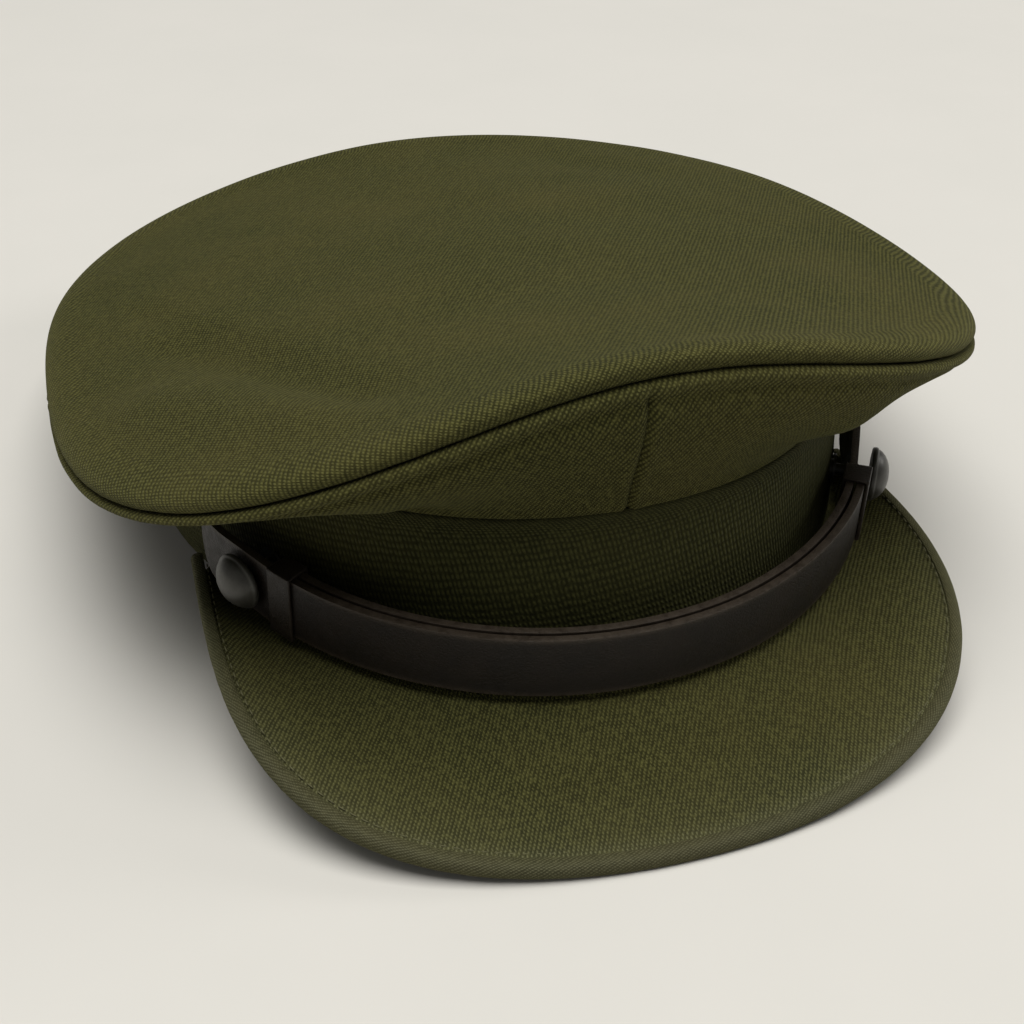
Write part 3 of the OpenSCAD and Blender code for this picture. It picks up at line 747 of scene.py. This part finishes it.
def binding_form(s, w):
    a = EDGE_ANGLES[round(s * SLICES)]
    e, p = edge_out(a), peak_edge(a)
    q = through(FOLD, w)
    pull = 0.07 * drift(p, 4, 11)
    out = q.x + pull * (1 if q.x > 0 else 0)
    slope = 0.5 * max(0.0, -q.x) * cos(a)
    return place(p.x + out * e.x, p.y + out * e.y, p.z + q.y + slope)


binding = panel("peak_binding_cloth", SLICES, 26, binding_form, lambda s, w: (s * EDGE_LONG, w * 9),
                lambda s, w: 0.6 * hump(w, 0.36, 0.22), place(0, -100, -12))
thicken(binding, 0.45)
fit(binding, "cap", BINDING_TWILL, "edge_binding", "peak_binding")


# %% Stitches
def stitch_row(name, places, length, thick, material, slot, body):
    """One small drawn-out sphere at each (place, way along, way out), sizes in mm."""
    bm = bmesh.new()
    for spot, along, out in places:
        across = along.cross(out).normalized()
        turn = Matrix((along, across, out)).transposed().to_4x4()
        turn.translation = spot
        size = Matrix.Diagonal((length / 2000, thick / 2000, thick / 2000, 1))
        bmesh.ops.create_icosphere(bm, subdivisions=1, radius=1.0, matrix=turn @ size)
    for face in bm.faces:
        face.smooth = True
    fit(as_object(name, bm), body, material, slot)


def along_line(points, outs):
    """Stitch places at the middle of each pair of neighbouring points."""
    rows = []
    for i in range(len(points) - 1):
        way = (points[i + 1] - points[i]).normalized()
        out = outs[i] - outs[i].dot(way) * way
        rows.append(((points[i] + points[i + 1]) / 2, way, out.normalized()))
    return rows


edge_angles = even_angles(118)[0]
edge_spots = []
for a in edge_angles[1:-1]:
    p, e = peak_edge(a), edge_out(a)
    edge_spots.append(place(p.x - 1.9 * e.x, p.y - 1.9 * e.y, p.z + 0.17 + 0.95 * cos(a)))
stitch_row("peak_stitches", along_line(edge_spots, [UP] * len(edge_spots)), 2.1, 0.36,
           STITCH_THREAD, "edge_binding", "cap")

# %% [markdown]
# ## The chin strap
#
# Two straps of leather lie one on the other. Each is buttoned at one side and ends free beyond the
# keeper at the other. The leather is a flat strip bent along an arc and a straight end with a round
# tip. A hole is opened in the strip for the button's shank, and its edges are rounded, burnished and given a
# painted highlight.

# %% Strap lines
STRAP_W, STRAP_T, STRAP_GAP = 15.0, 1.8, 0.6
STRAP_SLOPE, STRAP_END_A, TAB, BUTTON_X, FREE_END_A = 9.5, 61.5, 24.0, 5.5, 60.7
BEND_X, BEND_R = 12.0, 26.0
STRAP_R = SIDE_R - SIDE_C * sin(STRAP_END_A) - END_C * cos(STRAP_END_A) + 3.77
STRAP_Y = -END_C
STRAP_Z = 4.1 + STRAP_W / 2 + STRAP_R * cos(STRAP_END_A) * sin(STRAP_SLOPE)
STRAP_OUT_R = STRAP_R + 2 * STRAP_T + STRAP_GAP


def strap_place(x, y, z):
    """From the strap's own tilted plane to the model."""
    return place(x, STRAP_Y + y * cos(STRAP_SLOPE) - z * sin(STRAP_SLOPE),
                 STRAP_Z + y * sin(STRAP_SLOPE) + z * cos(STRAP_SLOPE))


def strap_line(r, way):
    """Place along one strap's middle line, from its free end at way 0 to its buttoned tip."""
    arc = math.radians(FREE_END_A + STRAP_END_A) * r
    if way < arc:
        a = math.degrees(way / r) - FREE_END_A
        return r * sin(a), -r * cos(a), a
    over = min(way - arc, BEND_X)
    x = r * sin(STRAP_END_A) + over * cos(STRAP_END_A)
    y = -r * cos(STRAP_END_A) + over * sin(STRAP_END_A)
    mid = BEND_R + STRAP_T / 2
    a = STRAP_END_A + math.degrees(max(0.0, way - arc - BEND_X) / mid)
    return (x + mid * (sin(a) - sin(STRAP_END_A)), y - mid * (cos(a) - cos(STRAP_END_A)), a)


def strap(name, r, side, node):
    """A strap whose middle line has radius r, buttoned on that side."""
    arc = math.radians(FREE_END_A + STRAP_END_A) * r
    long = arc + TAB
    hole = arc + BUTTON_X

    def half_width(way):
        tip = min(long - way, STRAP_W / 2)
        free = min(way, 2.0)
        round_tip = math.sqrt(max(0.0, (STRAP_W / 2) ** 2 - (STRAP_W / 2 - tip) ** 2))
        round_free = STRAP_W / 2 - 2.0 + math.sqrt(max(0.0, 4.0 - (2.0 - free) ** 2))
        return max(0.5, min(round_tip, round_free))

    def flat(s, w):
        way = 0.02 + (long - 0.04) * s
        return way, half_width(way) * (2 * w - 1)

    def form(s, w):
        way, z = flat(s, w)
        reach = math.hypot(way - hole, z)
        if reach < 3.6:
            grow = mix(2.5, 3.6, max(0.0, reach - 1.2) / 2.4) / max(reach, 0.3)
            way, z = hole + (way - hole) * grow, z * grow
        x, y, a = strap_line(r, way)
        buckle = 0.12 * drift((way, z, 0), 22, 12 + side)
        return strap_place(side * (x + buckle * sin(a)), y - buckle * cos(a), z)

    # How pale the strap's edges and tip are painted: burnish and painted highlight.
    def wear_and_highlight(s, w):
        way, z = flat(s, w)
        return max(hump(abs(z), half_width(way), 0.7), 0.5 * hump(way, long, 1.2))

    bend = place(0, 0, 17)
    strip = panel(name, 236, 26, form, flat, wear_and_highlight, bend)
    bm = bmesh.new()
    bm.from_mesh(strip.data)
    x, y, a = strap_line(r, hole)
    spot = strap_place(side * x, y, 0)
    near = [f for f in bm.faces if (f.calc_center_median() - spot).length < 0.00235]
    bmesh.ops.delete(bm, geom=near, context="FACES")
    bm.to_mesh(strip.data)
    bm.free()
    thicken(strip, STRAP_T - 0.1, 0.0)
    edges = strip.modifiers.new("rounded edges", "BEVEL")
    edges.width, edges.segments, edges.limit_method = 0.00045, 3, "ANGLE"
    edges.angle_limit = math.radians(50)
    fit(strip, "chin_strap", STRAP_LEATHER, "strap_leather", node)


strap("strap_outer_leather", STRAP_R + 1.5 * STRAP_T + STRAP_GAP, -1, "chin_strap_outer")
strap("strap_inner_leather", STRAP_R + 0.5 * STRAP_T, 1, "chin_strap_inner")


# %% [markdown]
# ### Keepers
#
# Each keeper is a loop of thin leather that slides on both straps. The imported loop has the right
# shape already, so a copy of it is merged into one skin and its hard edges are bevelled round.

# %% Keepers
def softened(node, name, width):
    bm = bmesh.new()
    bm.from_mesh(frame["nodes"][node].data)
    bmesh.ops.remove_doubles(bm, verts=bm.verts, dist=2e-6)
    bmesh.ops.dissolve_limit(bm, angle_limit=math.radians(0.4), verts=bm.verts, edges=bm.edges)
    hard = [e for e in bm.edges if e.is_manifold and e.calc_face_angle(0) > math.radians(40)]
    bmesh.ops.bevel(bm, geom=hard, offset=width / 1000, segments=3, profile=0.5, affect="EDGES", material=-1)
    # Sharp edges are painted paler: burnished leather and a painted highlight.
    rubbed_and_highlit = bm.verts.layers.float.new("wear_and_highlight")
    for v in bm.verts:
        v[rubbed_and_highlit] = min(1.0, 0.25 * len(v.link_edges) * max(e.calc_face_angle(0) for e in v.link_edges))
    for face in bm.faces:
        face.smooth = True
    piece = as_object(name, bm)
    piece.data.set_sharp_from_angle(angle=math.radians(50))
    return piece


for side_name in ("left", "right"):
    loop = softened(f"keeper_{side_name}", f"keeper_{side_name}_leather", 0.3)
    fit(loop, f"keeper_{side_name}", STRAP_LEATHER, "strap_leather", f"keeper_{side_name}")

# %% [markdown]
# ### Side buttons
#
# A small domed button with a rolled rim. Half of its outline is drawn once and spun round its axis,
# which is how such a thing is made on a lathe. The shank behind goes through the strap and an eyelet
# to a split pin inside the band.

# %% Buttons
BUTTON_BASE = STRAP_OUT_R + 1
HALF_OUTLINE = [(0, 4.5), (1.3, 4.42), (2.6, 4.16), (3.8, 3.68), (4.8, 3.0), (5.5, 2.3), (5.85, 1.75),
                (6.0, 1.38), (6.22, 1.30), (6.38, 1.05), (6.4, 0.7), (6.36, 0.3), (6.15, 0.06), (5.8, 0.0),
                (3.0, 0.12), (1.9, 0.1), (1.5, -0.2), (1.5, -6.5), (1.5, -11.6), (1.2, -12.0), (0, -12.0)]


def button_place(side, x, y, z):
    """From a button's own axis, z outwards, to the model."""
    a = side * STRAP_END_A
    px, py = side * BUTTON_X + x, -z
    return strap_place(px * cos(a) - py * sin(a), px * sin(a) + py * cos(a), y)


def button(side, side_name):
    bm = bmesh.new()
    for x, z in HALF_OUTLINE:
        bm.verts.new((x, 0, z))
    bm.verts.ensure_lookup_table()
    for i in range(len(HALF_OUTLINE) - 1):
        bm.edges.new((bm.verts[i], bm.verts[i + 1]))
    bmesh.ops.spin(bm, geom=bm.verts[:] + bm.edges[:], cent=(0, 0, 0), axis=(0, 0, 1), angle=2 * math.pi,
                   steps=64, use_merge=True)
    bmesh.ops.remove_doubles(bm, verts=bm.verts, dist=1e-4)
    for v in bm.verts:
        v.co = button_place(side, v.co.x, v.co.y, v.co.z + BUTTON_BASE)
    bmesh.ops.recalc_face_normals(bm, faces=bm.faces)
    for face in bm.faces:
        face.smooth = True
    piece = as_object(f"button_{side_name}_lacquered", bm)
    piece.data.set_sharp_from_angle(angle=math.radians(50))
    fit(piece, f"button_{side_name}", BUTTON_LACQUER, "button_lacquer", f"button_{side_name}")


button(-1, "left")
button(1, "right")

# %% [markdown]
# ## Inside the cap
#
# Turned over, the cap shows its sweatband and lining. The sweatband is a strip of leather folded in
# from the band's lower edge. The lining's side wall leans in from the band to a flat top panel, and
# its cloth is a little too long, so it hangs in small gathers below their seam.

# %% Sweatband
SWEAT_LINE = [(-2.75, 1.15, 0), (-2.95, 0.5, 0), (-3.8, 0.2, 0), (-4.8, 0.25, 0), (-5.5, 0.9, 0),
              (-5.66, 3, 0), (-5.7, 9, 0), (-5.72, 17, 0), (-5.7, 25, 0), (-5.68, 30, 0), (-5.66, 32.6, 0)]


def sweat_form(s, w):
    a = turn_at(s)
    q = through(SWEAT_LINE, w)
    ox, oy = oval(a)
    wave = 0.3 * drift((ox, oy, q.y), 30, 13) * min(1, q.y / 12)
    x, y = oval(a, q.x - abs(wave))
    return place(x, y, q.y)


sweatband = panel("sweatband_leather", 320, 30, sweat_form, lambda s, w: (s * AROUND, 38 * w),
                  lambda s, w: hump(w, 0.25, 0.12) * 0.8 + hump(w, 1.0, 0.03) * 0.6, place(0, 0, 17))
inward = bmesh.new()
inward.from_mesh(sweatband.data)
bmesh.ops.reverse_faces(inward, faces=inward.faces)
inward.to_mesh(sweatband.data)
inward.free()
thicken(sweatband, 0.85, -1.0)
fit(sweatband, "cap", SWEAT_LEATHER, "sweatband_leather", "sweatband")

STITCHES = 186
hem_spots, hem_outs = [], []
for i in range(STITCHES + 1):
    a = turn_at(i / STITCHES)
    x, y = oval(a, -5.8)
    hem_spots.append(place(x, y, 3.4))
    hem_outs.append(-(ACROSS * sin(a) - BACK * cos(a)))
stitch_row("hem_stitches", along_line(hem_spots, hem_outs), 2.3, 0.5, LEATHER_THREAD,
           "sweatband_leather", "cap")

# %% Lining
LINING_T, LINING_IN, UNDER_CROWN = 0.5, 14.0, 5.0


def lining_head(t):
    x, y = oval(oval_angle(t), -INNER_FACE - LINING_IN)
    return Vector((x, y, crown_z(x, y) - UNDER_CROWN))


def lining_side_form(s, v):
    t = 360 * s
    x, y = oval(oval_angle(t), -INNER_FACE)
    foot, head = Vector((x, y, BAND_H - 0.4)), lining_head(t)
    p = mix(foot, head, v * v)
    p.z = mix(foot.z, head.z, v)
    gather = 0.45 * v * abs(sin(t * 30)) ** 0.7 * (0.6 + 0.4 * drift((t, 0, 0), 9, 14))
    gather += 1.6 * v * (1 - v) * drift(p, 22, 15)
    middle = Vector((0, 0, p.z))
    p += (middle - p).normalized() * max(0.0, gather)
    return place(*p)


def lining_top_form(s, w):
    head = lining_head(360 * s)
    u = 1 - w
    x, y = head.x * u, head.y * u
    z = crown_z(x, y) - UNDER_CROWN - 0.5 * hump(w, 0.0, 0.02)
    return place(x, y, z - abs(0.7 * drift((x, y, 0), 34, 16)) * min(1, w * 5))


below_crown = place(0, 0, 120)
lining_side = panel("lining_side_satin", 360, 26, lining_side_form,
                    lambda s, v: (s * 600, v * 24), None, below_crown)
lining_top = panel("lining_top_satin", 200, 30, lining_top_form,
                   lambda s, w: (s * 400, w * 80), None, below_crown)
for piece, node in ((lining_side, "lining_side"), (lining_top, "lining_top")):
    thicken(piece, LINING_T - 0.1)
    fit(piece, "cap", LINING_SATIN, "lining_cloth", node)

# %% [markdown]
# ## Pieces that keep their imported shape
#
# The hoop, board, stiffener, canvas, eyelets and split pins are hard pieces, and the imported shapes
# are already theirs. They only get their finish.

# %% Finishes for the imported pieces
KEPT = {"crown_hoop": SPRING_WIRE, "front_support": STIFF_CANVAS, "band_stiffener": FIBRE_BOARD,
        "peak_board": FIBRE_BOARD, "eyelet_left": BUTTON_LACQUER, "eyelet_right": BUTTON_LACQUER,
        "split_pin_left": PIN_BRASS, "split_pin_right": PIN_BRASS}
for node, material in KEPT.items():
    frame["nodes"][node].data.materials.clear()
    frame["nodes"][node].data.materials.append(material)
print("kept from the model:", ", ".join(KEPT))

# %% [markdown]
# ## The cut sizes of the cloths
#
# The crown's cloths are held stretched over hoop and canvas. Each one's flat cut, with its size and
# area, is worked out from its seams alone: their lengths, their outlines from above and the straight
# distance from one to the other. The top's rolled edge is laid out flat.
# The finished mesh isn't measured for the cut; its own area is printed beside the cut's.

# %% Flat cuts
def line_length(points):
    return sum((b - a).length for a, b in zip(points, points[1:]))


def oval_cut(points):
    """Size and area in metres of a flat cut with this outline in mm."""
    xs, ys = [p[0] for p in points], [p[1] for p in points]
    turned = zip(points, points[1:] + points[:1])
    area = abs(sum(p[0] * q[1] - q[0] * p[1] for p, q in turned)) / 2
    return ((max(xs) - min(xs)) / 1000, (max(ys) - min(ys)) / 1000), area / 1e6


def quarter_cut(low):
    """A quarter is cut as part of a ring: short along the band, long along the crown's seam."""
    turns = range(low, low + 91)
    feet = [Vector((*oval(oval_angle(t)), BAND_H)) for t in turns]
    heads = [seam_point(t) for t in turns]
    lower, upper = line_length(feet), line_length(heads)
    height = sum((head - foot).length for foot, head in zip(feet, heads)) / len(turns)
    radius = height * lower / (upper - lower)
    half = lower / radius / 2
    size = (2 * (radius + height) * math.sin(half) / 1000,
            (radius + height - radius * math.cos(half)) / 1000)
    return size, (lower + upper) / 2 * height / 1e6


def lining_side_cut():
    """A straight strip, as long as the band is round inside and gathered at its head."""
    feet = [Vector((*oval(oval_angle(t), -INNER_FACE), BAND_H)) for t in range(361)]
    height = sum((lining_head(t) - feet[t]).length for t in range(360)) / 360
    size = (line_length(feet) / 1000, height / 1000)
    return size, size[0] * size[1]


# %% Cut and made areas
for piece, (size, area), rests in (
        (crown_top, oval_cut([top_cut(i / 360, 0) for i in range(360)]), ["crown_hoop"]),
        (quarter_front_left, quarter_cut(270), ["front_support"]),
        (quarter_front_right, quarter_cut(0), ["front_support"]),
        (quarter_rear_left, quarter_cut(180), ["crown_hoop"]),
        (quarter_rear_right, quarter_cut(90), ["crown_hoop"]),
        (lining_side, lining_side_cut(), ["band_stiffener"]),
        (lining_top, oval_cut([tuple(lining_head(t))[:2] for t in range(360)]), ["crown_hoop"])):
    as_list(rests)
    made = sum(f.area for f in piece.data.polygons)
    print(piece.name, "cut", [round(1000 * c) for c in size], "mm,", round(area * 1e4), "square cm; made",
          round(made * 1e4))

# %% [markdown]
# ## Floor, light and camera
#
# A plain pale table, one wide soft light high above and a weak one from the right give the gentle
# shading of a room: even on top of the crown and on the peak, nearly dark under the crown. The
# camera stands a little to the left of the front and looks down on the cap.

# %% Floor
bm = bmesh.new()
bmesh.ops.create_grid(bm, x_segments=1, y_segments=1, size=3.0)
floor = as_object("floor", bm)
floor_paint, tree, shader = start("floor_paint", Roughness=0.62, Specular_IOR_Level=0.3)
paint = tint(tree, ramp(tree, speckle(tree, 60, 4.0), 0.35, 0.65),
             (0.66, 0.647, 0.61, 1), (0.672, 0.657, 0.62, 1))
tree.links.new(paint, shader.inputs["Base Color"])
floor.data.materials.append(floor_paint)


# %% Lights
def soft_light(name, at, towards, size, watts, colour=(1, 1, 1)):
    lamp = bpy.data.lights.new(name, "AREA")
    lamp.shape, lamp.size, lamp.size_y, lamp.energy, lamp.color = "RECTANGLE", size[0], size[1], watts, colour
    holder = bpy.data.objects.new(name, lamp)
    holder.location = at
    holder.rotation_euler = (Vector(towards) - Vector(at)).to_track_quat("-Z", "Y").to_euler()
    bpy.context.scene.collection.objects.link(holder)
    return holder


soft_light("ceiling_light", (-0.15, -0.3, 3.0), (0, 0, 0), (2.8, 2.4), 104, (1.0, 0.985, 0.95))
soft_light("window_light", (2.4, 0.1, 1.1), (0, 0, 0.03), (0.8, 0.8), 14, (1.0, 0.98, 0.95))
world = bpy.data.worlds.new("room")
world.use_nodes = True
world.node_tree.nodes["Background"].inputs["Color"].default_value = (0.80, 0.80, 0.78, 1)
world.node_tree.nodes["Background"].inputs["Strength"].default_value = 0.22
bpy.context.scene.world = world
bpy.context.scene.view_settings.view_transform = "Standard"

# %% Camera
EYE = FOOT + Vector((-0.1061, -0.3597, 0.2364))
EYE_RIGHT = Vector((0.9560, -0.2931, 0.0097)).normalized()
EYE_UP = Vector((0.1581, 0.5427, 0.8249)).normalized()
camera_data = bpy.data.cameras.new("camera")
camera_data.sensor_width, camera_data.lens = 36, 59.77
camera_data.clip_start = 0.01
camera = bpy.data.objects.new("camera", camera_data)
turn = Matrix((EYE_RIGHT, EYE_UP, EYE_RIGHT.cross(EYE_UP))).transposed().to_4x4()
turn.translation = EYE
camera.matrix_world = turn
bpy.context.scene.collection.objects.link(camera)
bpy.context.scene.camera = camera
